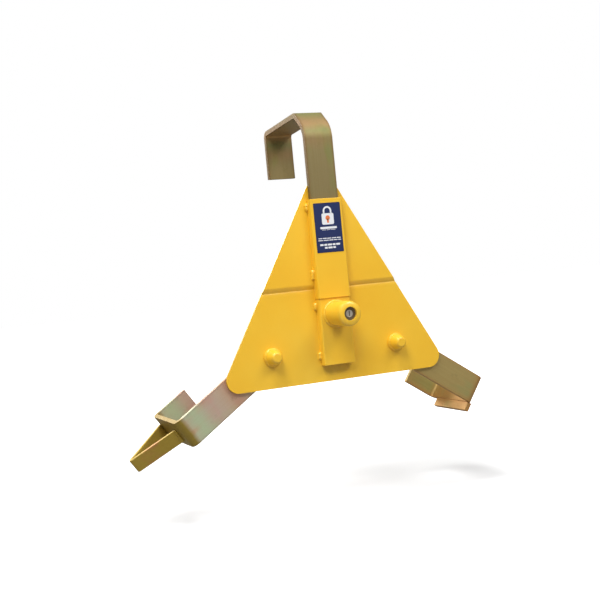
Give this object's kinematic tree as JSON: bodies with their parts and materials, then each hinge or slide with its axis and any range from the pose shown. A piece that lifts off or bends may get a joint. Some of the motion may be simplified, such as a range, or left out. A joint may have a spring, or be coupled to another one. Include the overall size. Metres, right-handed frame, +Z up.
{
  "type": "wheel clamp",
  "caption": "Triangular anti-theft wheel clamp: painted plate with a guide channel, sliding top hook arm, swinging lower hook arms and a round key lock that bolts the top arm.",
  "frame": {"origin": "point on the axis of the clamped wheel, level with the front face of the plate's upper half", "axes": "+X to the right seen from the front, +Y into the wheel, +Z up along the guide channel and the sliding top arm; the plate's front faces -Y"},
  "size_m": [0.6282, 0.24, 0.5631],
  "materials": {
    "yellow_paint": "satin yellow powder coat",
    "zinc_plate": "yellow-passivated zinc plate with a faint pink and green sheen",
    "bright_steel": "machined",
    "dark_steel": "dark hardened steel",
    "label_film": "printed vinyl"
  },
  "bodies": {
    "clamp_body": {"main_plate": "yellow_paint", "upper_cover": "yellow_paint", "lower_cover": "yellow_paint", "cover_welds_left": "yellow_paint", "cover_welds_right": "yellow_paint", "lock_barrel": "yellow_paint", "barrel_weld": "yellow_paint", "cone_nut_left": "yellow_paint", "cone_nut_right": "yellow_paint", "front_washer_left": "yellow_paint", "front_washer_right": "yellow_paint", "label": "label_film", "lock_housing": "bright_steel", "spacer_washer_left": "bright_steel", "spacer_washer_right": "bright_steel", "pivot_sleeve_left": "bright_steel", "pivot_sleeve_right": "bright_steel", "rear_washer_left": "bright_steel", "rear_washer_right": "bright_steel", "housing_pin": "dark_steel", "bolt_bush": "dark_steel", "bolt_guide_pin": "dark_steel", "pivot_stud_left": "dark_steel", "pivot_stud_right": "dark_steel"},
    "top_arm": {"top_arm": "zinc_plate"},
    "left_arm": {"lower_arm_left": "zinc_plate", "foot_strap": "zinc_plate", "foot_strap_welds": "zinc_plate"},
    "right_arm": {"lower_arm_right": "zinc_plate", "foot_bar": "zinc_plate", "foot_bar_weld": "zinc_plate"},
    "lock_core": {"lock_plug": "bright_steel", "lock_cam": "dark_steel"},
    "bolt": {"lock_bolt": "dark_steel", "cam_follower": "bright_steel"}
  },
  "joints": [
    {"name": "top_arm_slide", "type": "slide", "parent": "clamp_body", "child": "top_arm", "axis": [0, 0, 1], "range_m": [-0.05, 0.05]},
    {"name": "left_arm_swing", "type": "hinge", "parent": "clamp_body", "child": "left_arm", "pos_m": [-0.113, 0.0125, -0.077], "axis": [0, 1, 0], "range_deg": [-50, 34]},
    {"name": "right_arm_swing", "type": "hinge", "parent": "clamp_body", "child": "right_arm", "pos_m": [0.113, 0.0125, -0.077], "axis": [0, -1, 0], "range_deg": [-50, 34]},
    {"name": "key_turn", "type": "hinge", "parent": "clamp_body", "child": "lock_core", "pos_m": [0, -0.058, -0.017], "axis": [0, 1, 0], "range_deg": [0, 90]},
    {"name": "bolt_throw", "type": "slide", "parent": "clamp_body", "child": "bolt", "axis": [0, 1, 0], "range_m": [0, 0.013]}
  ],
  "couplings": [
    {"joint": "key_turn", "follows": "bolt_throw", "rad_per_m": 120.83}
  ]
}
